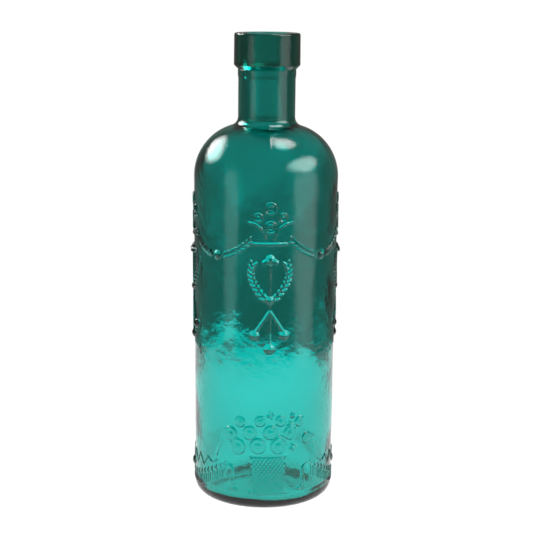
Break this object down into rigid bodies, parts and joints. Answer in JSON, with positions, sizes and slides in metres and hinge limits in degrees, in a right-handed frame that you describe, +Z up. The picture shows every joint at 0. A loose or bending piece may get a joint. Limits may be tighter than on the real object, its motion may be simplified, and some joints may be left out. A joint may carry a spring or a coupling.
{
  "type": "medicine bottle",
  "caption": "Tall round medicine bottle in blue-green glass, with a rounded shoulder, a short neck, a deep lip band and a moulded relief of garlands and a basket of fruit. Open mouth.",
  "frame": {"origin": "centre of the ring that the bottle stands on", "axes": "+Z up along the bottle's axis, out of the mouth; the basket relief faces -Y"},
  "size_m": [0.074, 0.0724, 0.23],
  "materials": {
    "glass": "clear blue-green moulded glass, glossy, slightly wavy"
  },
  "bodies": {
    "root": {"back_left_garland": "glass", "back_left_stud": "glass", "back_right_garland": "glass", "back_right_stud": "glass", "base": "glass", "body": "glass", "front_basket": "glass", "front_beads": "glass", "front_bow": "glass", "front_flowers": "glass", "front_fruit": "glass", "front_left_garland": "glass", "front_left_stud": "glass", "front_posts": "glass", "front_ribbon": "glass", "front_right_garland": "glass", "front_right_stud": "glass", "front_sprigs": "glass", "front_stems": "glass", "front_tassels": "glass", "front_tendrils": "glass", "front_wreath": "glass", "left_beads": "glass", "left_bow": "glass", "left_crest": "glass", "left_drape": "glass", "left_flowers": "glass", "left_ribbon": "glass", "left_rosette": "glass", "left_stems": "glass", "left_tassels": "glass", "left_wreath": "glass", "lip_band": "glass", "neck": "glass", "right_beads": "glass", "right_bow": "glass", "right_crest": "glass", "right_drape": "glass", "right_flowers": "glass", "right_ribbon": "glass", "right_rosette": "glass", "right_stems": "glass", "right_tassels": "glass", "right_wreath": "glass", "shoulder": "glass"}
  },
  "joints": []
}
